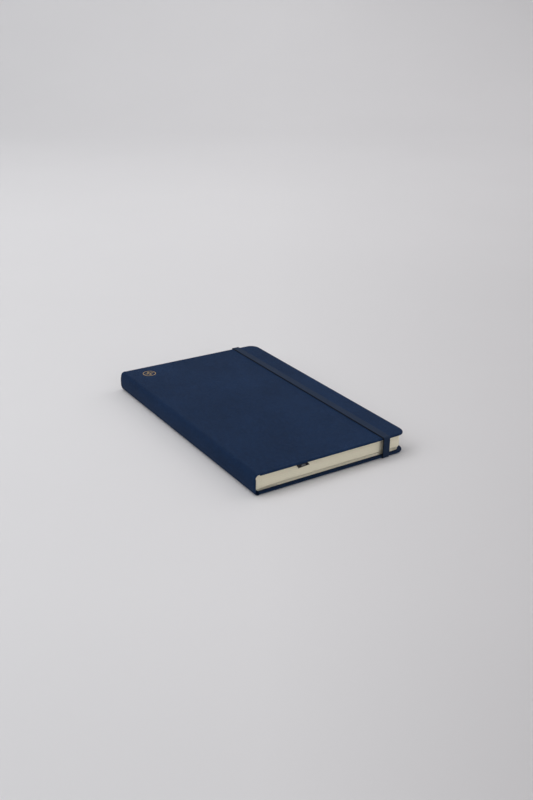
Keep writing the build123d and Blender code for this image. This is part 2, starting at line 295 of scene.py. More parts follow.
def weave_height(t, s, y, pitch_s, pitch_y):
    """Plain weave: threads over and under, from two directions in mm."""
    a = math_node(t, "MULTIPLY", s, math.pi / pitch_s)
    b = math_node(t, "MULTIPLY", y, math.pi / pitch_y)
    warp = math_node(t, "ABSOLUTE", math_node(t, "SINE", a))
    weft = math_node(t, "ABSOLUTE", math_node(t, "SINE", b))
    over = math_node(t, "MULTIPLY", math_node(t, "COSINE", a), math_node(t, "COSINE", b))
    side = math_node(t, "MULTIPLY_ADD", over, 0.5, 0.5)
    up = math_node(t, "MULTIPLY", warp, side)
    down = math_node(t, "MULTIPLY", weft, math_node(t, "SUBTRACT", 1.0, side))
    return math_node(t, "ADD", up, down)


NAVY = (0.0086, 0.0262, 0.0720)


def painted_edge_shade(t, col, x, middle, half, dark):
    """Painted shade: darkens a strip's two long edges, in mm from its middle line."""
    d = math_node(t, "SUBTRACT", middle, x)
    near = math_node(t, "MULTIPLY_ADD", d, 3.0, -3.0 * (half - 0.60))
    node = math_node(t, "MINIMUM", math_node(t, "MAXIMUM", near, 0.0), 1.0)
    return mix_color(t, node, col, dark)


def book_cloth(name, base=NAVY):
    m, t, bsdf = node_material(name)
    vec, x, y, z = object_xyz(t)
    s = math_node(t, "ADD", x, z)
    wob = noise(t, vec, 0.08, 1.0)
    s2 = math_node(t, "ADD", s, math_node(t, "MULTIPLY", wob, 1.2))
    weave = weave_height(t, s2, y, 0.36, 0.40)
    fibre = noise(t, vec, 3.2, 4.0, 0.65)
    slub = noise(t, vec, 0.55, 3.0, 0.6, 0.4)
    broad = noise(t, vec, 0.028, 2.0, 0.5)
    # thread streaks along Y
    st = t.nodes.new("ShaderNodeCombineXYZ")
    link(t, math_node(t, "MULTIPLY", s, 1.6), st.inputs[0])
    link(t, math_node(t, "MULTIPLY", y, 0.10), st.inputs[1])
    streak = noise(t, st.outputs[0], 1.0, 2.0, 0.5)
    tone = math_node(t, "MULTIPLY_ADD", slub, 0.30, 0.0)
    tone = math_node(t, "MULTIPLY_ADD", fibre, 0.28, tone)
    tone = math_node(t, "MULTIPLY_ADD", streak, 0.22, tone)
    tone = math_node(t, "MULTIPLY_ADD", broad, 0.20, tone)
    dark = tuple(c * 0.52 for c in base)
    light = tuple(c * 1.55 + 0.0015 for c in base)
    col = ramp(t, tone, [(0.34, dark), (0.52, base), (0.70, light)])
    # painted shade in the weave's hollows, darker where the threads dip
    weave_hollow_shade = math_node(t, "POWER", math_node(t, "SUBTRACT", 1.0, weave), 1.5)
    col = mix_color(t, math_node(t, "MULTIPLY", math_node(t, "MAXIMUM", weave_hollow_shade, 0.0), 0.8), col,
                    tuple(c * 0.35 for c in base), "MIX")
    link(t, col, bsdf.inputs["Base Color"])
    rough = math_node(t, "MULTIPLY_ADD", fibre, 0.16, 0.62)
    link(t, rough, bsdf.inputs["Roughness"])
    bsdf.inputs["Specular IOR Level"].default_value = 0.07
    bsdf.inputs["Sheen Weight"].default_value = 0.028
    bsdf.inputs["Sheen Roughness"].default_value = 0.32
    bsdf.inputs["Sheen Tint"].default_value = (0.55, 0.68, 1.0, 1)
    h = math_node(t, "MULTIPLY_ADD", weave, 0.7, math_node(t, "MULTIPLY", fibre, 0.35))
    h = math_node(t, "MULTIPLY_ADD", slub, 0.6, h)
    bump(t, bsdf, h, 0.7, 0.00010)
    return m


def paper(name, base=(0.84, 0.80, 0.665), edges=False, ruled=False):
    m, t, bsdf = node_material(name)
    vec, x, y, z = object_xyz(t)
    fib = noise(t, vec, 1.4, 5.0, 0.62)
    cloud = noise(t, vec, 0.05, 2.0, 0.5)
    tone = math_node(t, "MULTIPLY_ADD", fib, 0.5, math_node(t, "MULTIPLY", cloud, 0.5))
    dark = tuple(c * 0.93 for c in base)
    light = tuple(min(1.0, c * 1.04) for c in base)
    col = ramp(t, tone, [(0.32, dark), (0.55, base), (0.75, light)])
    height = fib
    if edges:
        # each leaf's cut edge differs a little from the next
        lv = t.nodes.new("ShaderNodeCombineXYZ")
        link(t, math_node(t, "MULTIPLY", x, 0.012), lv.inputs[0])
        link(t, math_node(t, "MULTIPLY", y, 0.012), lv.inputs[1])
        link(t, math_node(t, "MULTIPLY", z, 2.6), lv.inputs[2])
        leafy = noise(t, lv.outputs[0], 1.0, 3.0, 0.7)
        col = mix_color(t, ramp(t, leafy, [(0.30, (0.9, 0.9, 0.9)), (0.72, (0, 0, 0))]),
                        col, tuple(c * 0.91 for c in base))
        height = math_node(t, "ADD", fib, leafy)
    if ruled:
        # faint ruled lines and ledger columns, in mm from the sheet's middle
        fine = math_node(t, "ABSOLUTE", math_node(
            t, "SUBTRACT", math_node(t, "MODULO", math_node(t, "ADD", y, 700.0), 7.0), 3.5))
        row = math_node(t, "LESS_THAN", fine, 0.09)
        inside_y = math_node(t, "MULTIPLY",
                             math_node(t, "LESS_THAN", y, 84.0),
                             math_node(t, "GREATER_THAN", y, -95.0))
        row = math_node(t, "MULTIPLY", row, inside_y)
        cols = None
        for cx in (-49.0, -31.0, -13.0, 5.0, 17.0, 29.0, 41.0, 53.0):
            d = math_node(t, "LESS_THAN",
                          math_node(t, "ABSOLUTE", math_node(t, "SUBTRACT", x, cx)), 0.10)
            cols = d if cols is None else math_node(t, "MAXIMUM", cols, d)
        cols = math_node(t, "MULTIPLY", cols, math_node(
            t, "MULTIPLY", math_node(t, "LESS_THAN", y, 91.0),
            math_node(t, "GREATER_THAN", y, -95.0)))
        head = math_node(t, "LESS_THAN", math_node(
            t, "ABSOLUTE", math_node(t, "SUBTRACT", y, 84.0)), 0.22)
        ink = math_node(t, "MAXIMUM", math_node(t, "MAXIMUM", row, cols), head)
        side = math_node(t, "MULTIPLY", math_node(t, "LESS_THAN", x, 57.0),
                         math_node(t, "GREATER_THAN", x, -54.0))
        ink = math_node(t, "MULTIPLY", math_node(t, "MULTIPLY", ink, side), 0.55)
        col = mix_color(t, ink, col, (0.33, 0.38, 0.45))
    link(t, col, bsdf.inputs["Base Color"])
    link(t, math_node(t, "MULTIPLY_ADD", fib, 0.1, 0.82), bsdf.inputs["Roughness"])
    bsdf.inputs["Specular IOR Level"].default_value = 0.25
    bump(t, bsdf, height, 0.25, 0.00003)
    return m


def woven_tape(name, base, light, pitch_x, pitch_y, strength=0.5, sheen=0.15, rough0=0.6,
               bars=None, spec=0.3, edge=None):
    m, t, bsdf = node_material(name)
    vec, x, y, z = object_xyz(t)
    along = math_node(t, "ADD", y, z)
    weave = weave_height(t, x, along, pitch_x, pitch_y)
    fib = noise(t, vec, 4.0, 3.0, 0.6)
    broad = noise(t, vec, 0.09, 2.0, 0.5)
    # tone partly random fibre and broad tone, partly painted by weave height: painted shade in
    # the hollows, painted highlight on the thread crowns
    tone = math_node(t, "MULTIPLY_ADD", weave, 0.45, math_node(t, "MULTIPLY", fib, 0.35))
    tone = math_node(t, "MULTIPLY_ADD", broad, 0.25, tone)
    col = ramp(t, tone, [(0.2, tuple(c * 0.6 for c in base)), (0.5, base), (0.85, light)])
    if edge:
        # painted shade along the strip's long edges
        col = painted_edge_shade(t, col, x, *edge)
    if bars:
        (b0, b1), (b2, b3), zcol, bx = bars
        one = math_node(t, "MULTIPLY", math_node(t, "GREATER_THAN", z, b0),
                        math_node(t, "LESS_THAN", z, b1))
        two = math_node(t, "MULTIPLY", math_node(t, "GREATER_THAN", z, b2),
                        math_node(t, "LESS_THAN", z, b3))
        both = math_node(t, "MAXIMUM", one, two)
        both = math_node(t, "MULTIPLY", both, math_node(
            t, "LESS_THAN", math_node(t, "ABSOLUTE", math_node(t, "SUBTRACT", x, bx)), 1.7))
        col = mix_color(t, math_node(t, "MULTIPLY", both, 0.75), col, zcol)
    link(t, col, bsdf.inputs["Base Color"])
    link(t, math_node(t, "MULTIPLY_ADD", fib, 0.2, rough0), bsdf.inputs["Roughness"])
    bsdf.inputs["Specular IOR Level"].default_value = spec
    bsdf.inputs["Sheen Weight"].default_value = sheen
    bsdf.inputs["Sheen Roughness"].default_value = 0.4
    bump(t, bsdf, math_node(t, "MULTIPLY_ADD", fib, 0.4, weave), strength, 0.00006)
    return m


def greyboard(name):
    m, t, bsdf = node_material(name)
    vec, x, y, z = object_xyz(t)
    fleck = noise(t, vec, 2.2, 5.0, 0.7)
    layers = noise(t, vec, 0.3, 3.0, 0.6)
    tone = math_node(t, "MULTIPLY_ADD", fleck, 0.6, math_node(t, "MULTIPLY", layers, 0.4))
    col = ramp(t, tone, [(0.3, (0.23, 0.21, 0.19)), (0.5, (0.36, 0.34, 0.31)),
                         (0.72, (0.47, 0.45, 0.41))])
    link(t, col, bsdf.inputs["Base Color"])
    link(t, math_node(t, "MULTIPLY_ADD", fleck, 0.1, 0.85), bsdf.inputs["Roughness"])
    bump(t, bsdf, fleck, 0.4, 0.00006)
    return m


def gold_foil(name):
    m, t, bsdf = node_material(name)
    vec, x, y, z = object_xyz(t)
    grain = noise(t, vec, 3.0, 4.0, 0.6)
    worn = noise(t, vec, 0.8, 3.0, 0.6)
    tone = math_node(t, "MULTIPLY_ADD", grain, 0.5, math_node(t, "MULTIPLY", worn, 0.5))
    col = ramp(t, tone, [(0.33, (0.40, 0.265, 0.075)), (0.5, (0.66, 0.455, 0.135)),
                         (0.7, (0.80, 0.58, 0.22))])
    link(t, col, bsdf.inputs["Base Color"])
    bsdf.inputs["Metallic"].default_value = 0.55
    link(t, math_node(t, "MULTIPLY_ADD", grain, 0.25, 0.34), bsdf.inputs["Roughness"])
    bump(t, bsdf, grain, 0.3, 0.00004)
    return m


M_CLOTH = book_cloth("book_cloth")
M_LEAF = paper("leaf_face", ruled=True)
M_EDGE = paper("leaf_edge", base=(0.900, 0.845, 0.680), edges=True)
M_END = paper("endpaper", base=(0.84, 0.80, 0.67))
M_CARD = paper("pocket_card", base=(0.84, 0.80, 0.67))
# the elastic's long edges get painted shade in their colour
M_ELASTIC = woven_tape("elastic_weave", (0.0080, 0.0195, 0.0480), (0.0150, 0.0310, 0.066),
                       0.62, 0.34, 0.7, 0.02, 0.62, spec=0.14,
                       edge=(45.4, 3.1, (0.0012, 0.0026, 0.0060)))
M_GUSSET = woven_tape("gusset_cloth", (0.77, 0.72, 0.565), (0.88, 0.83, 0.67), 0.5, 0.5, 0.3,
                      0.02, 0.8, spec=0.2)
M_GAUZE = woven_tape("lining_gauze", (0.60, 0.58, 0.50), (0.80, 0.78, 0.70), 0.9, 0.9, 0.8)
M_THREAD = woven_tape("sewing_thread", (0.68, 0.66, 0.58), (0.85, 0.83, 0.76), 0.2, 0.25, 0.6)
M_BOARD = greyboard("greyboard")
M_FOIL = gold_foil("foil")

# ------------------------------------------------------------------ CAD nodes kept
for node, material in (
    ("front_board", M_BOARD), ("back_board", M_BOARD), ("spine_strip", M_BOARD),
    ("front_pastedown", M_END), ("back_pastedown", M_END),
    ("pocket_panel", M_CARD), ("pocket_hem", M_CARD),
    ("front_spine_lining", M_GAUZE), ("back_spine_lining", M_GAUZE),
    ("front_sewing_threads", M_THREAD), ("back_sewing_threads", M_THREAD),
):
    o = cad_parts[node]
    if o.material_slots:
        for slot in o.material_slots:
            slot.link = "OBJECT"
            slot.material = material
    else:
        o.data.materials.append(material)

# ------------------------------------------------------------------ case cloth
x_front = FB_LO[0] - 0.5
x_back = BB_LO[0] - 0.3
front_wrap = wrapped_cover("front_cover_wrap", x_front, X_FORE, Y_HALF,
                           FC_LO[2], FC_HI[2], M_CLOTH)
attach(front_wrap, "front_cover")
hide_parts("front_cover_cloth")

back_wrap = wrapped_cover("back_cover_wrap", x_back, X_FORE, Y_HALF,
                          BC_HI[2], BC_LO[2], M_CLOTH)
# recesses for the elastic's ends, with the slots they pass through
BAND_LO, BAND_HI = mm_box("band_end_head")
recess = []
for side in (1, -1):
    ys = sorted((side * (BAND_LO[1] + 13.3), side * (Y_HALF + 2.0)))
    recess.append(((BAND_LO[0] - 0.2, ys[0], -1.0), (BAND_HI[0] + 0.2, ys[1], 0.78)))
    ys = sorted((side * (BAND_LO[1] + 13.3), side * (BAND_LO[1] + 14.7)))
    recess.append(((BAND_LO[0] - 0.2, ys[0], 0.5), (BAND_HI[0] + 0.2, ys[1], 1.22)))
cut_boxes(back_wrap, recess)
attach(back_wrap, "back_cover")
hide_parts("back_cover_cloth")


BULGE = 0.7                 # how far the rounded spine stands out past its strip
Z_FAT = 7.6                 # height of the spine's fullest line


def spine_outer(z):
    """X of the case's outer face at height z, on the spine side."""
    if z >= Z_FAT:
        a, h, cx = (Z_TOP - SP_HI[2]) + BULGE, Z_TOP - Z_FAT, X_SPINE + Z_TOP - SP_HI[2]
        f = (z - Z_FAT) / h
    else:
        a, h, cx = SP_LO[2] + BULGE, Z_FAT, X_SPINE + SP_LO[2]
        f = (Z_FAT - z) / h
    return cx - a * max(1 - min(f, 1.0) ** 2.5, 0.0) ** 0.4


def smooth(f):
    f = max(0.0, min(1.0, f))
    return f * f * (3 - 2 * f)


def joint_piece(name, z_split, flat_x, z_face, up, n=22):
    """Cloth at a joint: bends from the spine to the cover, as thick as each."""
    s = 1 if up else -1
    r = abs(z_face - z_split)
    outer = []
    for k in range(n + 1):
        z = z_split + s * r * math.sin(math.pi / 2 * k / n)
        outer.append(Vector((spine_outer(z), z)))
    outer += [Vector((outer[-1].x + (flat_x - outer[-1].x) * q, z_face)) for q in (0.5, 1.0)]
    length = [0.0]
    for p, q in zip(outer, outer[1:]):
        length.append(length[-1] + (q - p).length)
    pairs = []
    for k, p in enumerate(outer):
        d = outer[min(k + 1, len(outer) - 1)] - outer[max(k - 1, 0)]
        if k == 0:
            d = Vector((0.0, s))
        elif k == len(outer) - 1:
            d = Vector((1.0, 0.0))
        inward = Vector((d.y, -d.x)).normalized() * s
        f = length[k] / length[-1]
        near_spine = 1.0 - smooth(f / 0.22)
        near_cover = smooth((f - 0.88) / 0.12)
        t = 0.42 + (X_IN - outer[0].x - 0.42) * near_spine + (COVER_T - 0.42) * near_cover
        q = p + inward * t
        pairs.append(((p.x, p.y), (q.x, q.y)))
    edge = edge_profile(COVER_T)
    loop = [(Y_HALF - i, hgt / COVER_T) for i, hgt in edge]
    loop += [(0.0, 1.0)] + [(-y, f) for y, f in reversed(loop)] + [(0.0, 0.0)]
    verts, faces = [], []
    m = len(loop)
    for (xo, zo), (xi, zi) in pairs:
        for y, f in loop:
            verts.append((xi + (xo - xi) * f, y, zi + (zo - zi) * f))
    for k in range(len(pairs) - 1):
        for i in range(m):
            j = (i + 1) % m
            faces.append((k * m + i, k * m + j, (k + 1) * m + j, (k + 1) * m + i))
    faces.append(tuple(range(m)))
    faces.append(tuple(range((len(pairs) - 1) * m, len(pairs) * m)))
    return new_object(name, verts, faces, [M_CLOTH])


X_IN = ST_HI[0] + 0.18
front_joint = joint_piece("front_joint_wrap", SP_HI[2], x_front, Z_TOP, True)
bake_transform(front_joint)
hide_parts("front_joint_cloth")

back_joint = joint_piece("back_joint_wrap", SP_LO[2], x_back, 0.0, False)
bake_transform(back_joint)
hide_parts("back_joint_cloth")


def spine_wrap():
    """Cloth over the card strip, turned in over its ends at head and tail."""
    x1 = ST_HI[0]
    z0, z1 = SP_LO[2], SP_HI[2]
    ct = SP_HI[0] - SP_LO[0]
    e = Y_HALF
    zs = [z0 + (z1 - z0) * k / 12 for k in range(13)]
    verts, faces = [], []
    n = 0
    for z in zs:
        x0 = spine_outer(z)
        half = [(x0, 0.0), (x0, e - 40.0)]
        for inset, hgt in reversed(edge_profile(COVER_T)):
            half.append((X_IN + (x0 - X_IN) * hgt / COVER_T, e - inset))
        half += [(X_IN, e - 15.0), (X_IN - 0.16, e - 15.2), (X_IN - 0.16, e - 1.0),
                 (X_SPINE + ct - 0.02, e - 0.9), (X_SPINE + ct - 0.02, 0.0)]
        loop = half + [(x, -y) for x, y in reversed(half)][1:-1]
        n = len(loop)
        verts += [(x, y, z) for x, y in loop]
    for k in range(len(zs) - 1):
        for i in range(n):
            j = (i + 1) % n
            faces.append((k * n + i, k * n + j, (k + 1) * n + j, (k + 1) * n + i))
    faces.append(tuple(range(n)))
    faces.append(tuple(range((len(zs) - 1) * n, len(zs) * n)))
    return new_object("spine_wrap", verts, faces, [M_CLOTH])


sw = spine_wrap()
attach(sw, "spine")
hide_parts("spine_cloth")


# ------------------------------------------------------------------ the leaves
SEC_LO, SEC_HI = mm_box("section_07")
X_BACK, X_CUT = SEC_LO[0], SEC_HI[0]
Y_CUT = SEC_HI[1]
PAGE_R = 5.0
X_KNEE = -51.4
LEAVES = 8
LEAF_T = 0.098


def leaf_xs(x_start, x_end, r, n=9):
    xs = [x_start + (X_KNEE - x_start) * k / 6 for k in range(7)]
    xs += [X_KNEE + 3.0]
    xs += [X_KNEE + 3.0 + (x_end - r - X_KNEE - 3.0) * k / 6 for k in range(1, 7)]
    for k in range(1, n + 1):
        xs.append(x_end - r + r * math.sin(math.pi / 2 * k / n))
    return xs


def y_extent(x, x_end, y_half, r):
    d = x - (x_end - r)
    if d <= 0:
        return y_half
    d = min(d, r)
    return y_half - r + math.sqrt(max(r * r - d * d, 0.0))


def between(values, x):
    """Height at x of a piece given at its back, at the knee and at the fore-edge."""
    back, knee, fore = values
    if x < X_KNEE:
        f = max((x - X_BACK) / (X_KNEE - X_BACK), 0.0)
        return back + (knee - back) * f ** 0.85
    return knee + (fore - knee) * (x - X_KNEE) / (X_CUT - X_KNEE)


def folded_sheets(name, lows, highs, x_back_at):
    """A sewn section: sheets folded at the back, nested, as closed thin solids."""
    verts, faces, mats = [], [], []
    pairs = LEAVES // 2
    r0 = (highs[0] - lows[0]) / 2

    def z_of(j, x):
        share = (j + 0.5) / LEAVES
        lo, hi = between(lows, x), between(highs, x)
        return lo + (hi - lo) * share

    for k in range(pairs):
        x_end = X_CUT - rng.uniform(0.0, 0.16)
        y_half = Y_CUT - rng.uniform(0.0, 0.10)
        dy = rng.uniform(-0.05, 0.05)
        jl, ju = k, LEAVES - 1 - k
        half = LEAF_T / 2
        xs0 = x_back_at + r0
        xs = leaf_xs(xs0, x_end, PAGE_R)
        jit = [rng.uniform(-0.006, 0.006) for _ in range(2)]
        low = [(x, z_of(jl, x) + jit[0]) for x in xs]
        up = [(x, z_of(ju, x) + jit[1]) for x in xs]
        zc = (low[0][1] + up[0][1]) / 2
        rc = (up[0][1] - low[0][1]) / 2
        bend = 8
        outer, inner = [], []
        outer += [(x, z - half) for x, z in reversed(low)]
        inner += [(x, z + half) for x, z in reversed(low)]
        for i in range(1, bend):
            a = -math.pi / 2 - math.pi * i / bend
            outer.append((xs0 + (rc + half) * math.cos(a), zc + (rc + half) * math.sin(a)))
            ri = max(rc - half, 0.004)
            inner.append((xs0 + ri * math.cos(a), zc + ri * math.sin(a)))
        outer += [(x, z + half) for x, z in up]
        inner += [(x, z - half) for x, z in up]
        base = len(verts)
        n = len(outer)
        for x, z in outer:
            e = y_extent(x, x_end, y_half, PAGE_R)
            verts.append((x, -e + dy, z))
            verts.append((x, e + dy, z))
        for x, z in inner:
            e = y_extent(x, x_end, y_half, PAGE_R)
            verts.append((x, -e + dy, z))
            verts.append((x, e + dy, z))
        o = lambda i, s: base + 2 * i + s
        q = lambda i, s: base + 2 * n + 2 * i + s
        for i in range(n - 1):
            faces.append((o(i, 0), o(i + 1, 0), o(i + 1, 1), o(i, 1))); mats.append(0)
            faces.append((q(i, 0), q(i, 1), q(i + 1, 1), q(i + 1, 0))); mats.append(0)
            faces.append((o(i, 0), q(i, 0), q(i + 1, 0), o(i + 1, 0))); mats.append(1)
            faces.append((o(i, 1), o(i + 1, 1), q(i + 1, 1), q(i, 1))); mats.append(1)
        for i in (0, n - 1):
            faces.append((o(i, 0), o(i, 1), q(i, 1), q(i, 0))); mats.append(1)
    return new_object(name, verts, faces, [M_LEAF, M_EDGE], mats, sharp=40)


def single_leaf(name, z_at, x_start, x_end, y_half, thick, material, edge):
    """A flyleaf: one sheet with rounded fore-edge corners."""
    xs = leaf_xs(x_start, x_end, PAGE_R)
    verts, faces, mats = [], [], []
    for x in xs:
        e = y_extent(x, x_end, y_half, PAGE_R)
        for s in (-1, 1):
            for h in (0, thick):
                verts.append((x, s * e, z_at(x) + h))
    for i in range(len(xs) - 1):
        a, b = 4 * i, 4 * (i + 1)
        faces.append((a, b, b + 2, a + 2)); mats.append(0)
        faces.append((a + 1, a + 3, b + 3, b + 1)); mats.append(0)
        faces.append((a, a + 1, b + 1, b)); mats.append(1)
        faces.append((a + 2, b + 2, b + 3, a + 3)); mats.append(1)
    faces.append((0, 2, 3, 1)); mats.append(1)
    e = 4 * (len(xs) - 1)
    faces.append((e, e + 1, e + 3, e + 2)); mats.append(1)
    return new_object(name, verts, faces, [material, edge], mats, sharp=40)


for k in range(1, 13):
    node = f"section_{k:02d}"
    body = "front_pages" if k <= 6 else "back_pages"
    lo, hi = mm_box(node)
    zb = z_near(node, lo[0] - 0.1, lo[0] + 3.2)
    zk = z_near(node, X_KNEE - 0.5, X_KNEE + 0.5) if k > 6 else (lo[2], hi[2])
    if k == 7:
        zk = (zk[0], hi[2])
    zf = z_near(node, X_CUT - 0.5, X_CUT + 0.5)
    under = {6: -0.026, 12: 0.38}.get(k, 0.0)
    over = -0.026 if k == 7 else 0.0
    piece = folded_sheets(f"leaves_{k:02d}", [z[0] + under for z in (zb, zk, zf)],
                          [z[1] - over for z in (zb, zk, zf)], lo[0])
    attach(piece, body)
    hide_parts(node)

for node, body in (("front_flyleaf", "front_pages"), ("back_flyleaf", "back_pages")):
    lo, hi = mm_box(node)
    zb = z_near(node, lo[0] - 0.1, lo[0] + 1.0)
    zk = z_near(node, X_KNEE - 0.5, X_KNEE + 0.5) if body == "back_pages" else (lo[2], hi[2])
    zf = z_near(node, X_CUT - 0.5, X_CUT + 0.5)
    lift = 0.34 if body == "back_pages" else 0.0
    lows = (zb[0], zk[0] + lift, zf[0] + lift)
    x_from = lo[0] + (1.4 if body == "back_pages" else 3.2)
    piece = single_leaf(node + "_sheet", lambda x: between(lows, x),
                        x_from, X_CUT - 0.05, Y_CUT - 0.05, 0.12, M_END, M_EDGE)
    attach(piece, body)
    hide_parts(node)


# ------------------------------------------------------------------ pocket gussets
def gusset(name, side):
    """A pocket gusset pressed flat: two outer folds and one inward pleat."""
    node = f"pocket_gusset_{'head' if side > 0 else 'tail'}"
    lo, hi = mm_box(node)
    x0, x1 = lo[0], hi[0]
    y_out = (hi[1] if side > 0 else -lo[1]) - 0.02
    y_in = y_out - 8.6
    z_base = lo[2]
    z_mouth = z_near(node, x0 - 0.5, x0 + 0.5)[1]
    xs = [x0 + (x1 - x0) * k / 30 for k in range(31)]
    verts, faces = [], []
    n = 0
    for x in xs:
        top = z_mouth + (hi[2] - z_mouth) * (x - x0) / (x1 - x0)
        h = top - z_base
        t = h * 0.21                  # half of one folded layer
        mid = z_base + h / 2
        sway = 0.10 * math.sin(x * 0.21) + 0.05 * math.sin(x * 0.53)
        ring = [(y_in, z_base), (y_out - 0.14, z_base), (y_out - 0.04, z_base + 0.04),
                (y_out, z_base + t), (y_out - 0.04, mid - 0.07), (y_out - 0.15, mid - 0.03),
                (y_out - 5.6 + sway, mid - 0.02), (y_out - 5.8 + sway, mid),
                (y_out - 5.6 + sway, mid + 0.02), (y_out - 0.15, mid + 0.03),
                (y_out - 0.04, mid + 0.07), (y_out, top - t), (y_out - 0.04, top - 0.04),
                (y_out - 0.14, top), (y_in, top), (y_in, top - t),
                (y_out - 6.2 + sway, mid + t * 0.9), (y_out - 6.7 + sway, mid),
                (y_out - 6.2 + sway, mid - t * 0.9), (y_in, z_base + t)]
        n = len(ring)
        verts += [(x, side * y, z) for y, z in ring]
    for k in range(len(xs) - 1):
        for i in range(n):
            j = (i + 1) % n
            faces.append((k * n + i, k * n + j, (k + 1) * n + j, (k + 1) * n + i))
    faces.append(tuple(range(n)))
    faces.append(tuple(range((len(xs) - 1) * n, len(xs) * n)))
    piece = new_object(name, verts, faces, [M_GUSSET], sharp=50)
    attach(piece, "back_cover")
    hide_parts(node)
    return piece


gusset("gusset_fold_head", 1)
gusset("gusset_fold_tail", -1)


# ------------------------------------------------------------------ ribbon marker
RB_LO, RB_HI = mm_box("ribbon_marker")
RIB_W = 7.5
RIB_T = 0.2
ribbon_x = RB_HI[0] - RIB_W / 2
z_lie = RB_HI[2] - RIB_T / 2
y_edge = -Y_CUT


def ribbon():
    """Flat ribbon: lies on the first leaf, slants to the tail and hangs over it."""
    top = (RB_LO[0] + 5.0, RB_HI[1] - 0.5)
    x_out = ribbon_x - 1.7
    pts, halves = [], []
    n = 26
    for k in range(n + 1):
        f = k / n
        pts.append((top[0] + (x_out - top[0]) * f, top[1] + (y_edge + 0.3 - top[1]) * f,
                    z_lie))
        halves.append(RIB_W / 2)
    # over the edge of the leaves, slanting on towards the fore-edge
    drop = RB_HI[2] - RB_LO[2]
    hang = [(0.04, -0.32, -0.01), (0.12, -0.62, -0.07), (0.25, -0.86, -0.24),
            (0.45, -0.99, -0.52), (0.72, -1.05, -0.90), (1.08, -1.05, -1.38),
            (1.52, -1.00, -1.92), (2.00, -0.96, -2.45), (2.30, -0.94, -drop + 0.28)]
    x_l, y_l, _ = pts[-1]
    for i, (dx, dy, dz) in enumerate(hang):
        pts.append((x_l + dx, y_edge + dy, z_lie + dz))
        halves.append(RIB_W / 2 + 0.95 * min(i / 4, 1.0))
    verts, faces = [], []
    across = [-1.0, -0.97, -0.6, -0.2, 0.2, 0.6, 0.97, 1.0]
    count = len(pts)
    for i, p in enumerate(pts):
        a = Vector(pts[max(i - 1, 0)])
        b = Vector(pts[min(i + 1, count - 1)])
        d = (b - a).normalized()
        t = max(0, min(1, (i - n) / 3))
        flat = Vector((0, 0, 1)).cross(Vector((d.x, d.y, 0)).normalized())
        if flat.x < 0:
            flat = -flat
        w = flat.lerp(Vector((1, 0, 0)), t).normalized()
        nrm = w.cross(d).normalized()
        if nrm.z < 0 if i <= n + 1 else nrm.y > 0:
            nrm = -nrm
        up, dn = [], []
        for q in across:
            edge = 0.5 if abs(q) == 1.0 else 1.0
            c = Vector(p) + w * (halves[i] * q)
            if i == count - 1:
                c.z += 0.34 * q
                c.x += 0.18 * q
            wave = 0.03 * math.sin(3.0 * q + i * 0.7) if i > n + 2 else 0.0
            up.append(tuple(c + nrm * (RIB_T / 2 * edge + wave)))
            dn.append(tuple(c - nrm * (RIB_T / 2 * edge - wave)))
        verts += up + dn[::-1]
    m = 2 * len(across)
    for k in range(count - 1):
        for i in range(m):
            j = (i + 1) % m
            faces.append((k * m + i, k * m + j, (k + 1) * m + j, (k + 1) * m + i))
    faces.append(tuple(range(m)))
    faces.append(tuple(range((count - 1) * m, count * m)))
    z1 = RB_LO[2]
    mat = woven_tape("ribbon_satin", (0.0045, 0.0055, 0.0105), (0.014, 0.016, 0.024),
                     0.26, 0.22, 0.4, 0.05, 0.5, spec=0.2,
                     bars=((z1 + 0.95, z1 + 1.35), (z1 + 1.75, z1 + 2.0),
                           (0.26, 0.27, 0.29), pts[-3][0]))
    obj = new_object("ribbon_strip", verts, faces, [mat], sharp=60)
    return obj, [tuple(c * MM for c in p) for p in pts]


rib, rib_path = ribbon()
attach(rib, "front_pages")
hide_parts("ribbon_marker")


# ------------------------------------------------------------------ elastic band
EF_LO, EF_HI = mm_box("band_front_run")
EE_LO, EE_HI = mm_box("band_end_head")
BAND_X = (EF_LO[0] + EF_HI[0]) / 2
BAND_W = EF_HI[0] - EF_LO[0]
BAND_T = EF_HI[2] - EF_LO[2]


def rounded(points, radii, steps=6):
    """Polyline in (y, z) with its corners rounded."""
    out = [Vector(points[0])]
    for i in range(1, len(points) - 1):
        p, a, b = Vector(points[i]), Vector(points[i - 1]), Vector(points[i + 1])
        u, v = (a - p).normalized(), (b - p).normalized()
        ang = u.angle(v)
        r = radii[i - 1]
        d = r / math.tan(ang / 2)
        c = p + (u + v).normalized() * (r / math.sin(ang / 2))
        s, e = p + u * d, p + v * d
        for k in range(steps + 1):
            f = k / steps
            q = (s - c).lerp(e - c, f)
            out.append(c + q.normalized() * r)
    out.append(Vector(points[-1]))
    return out


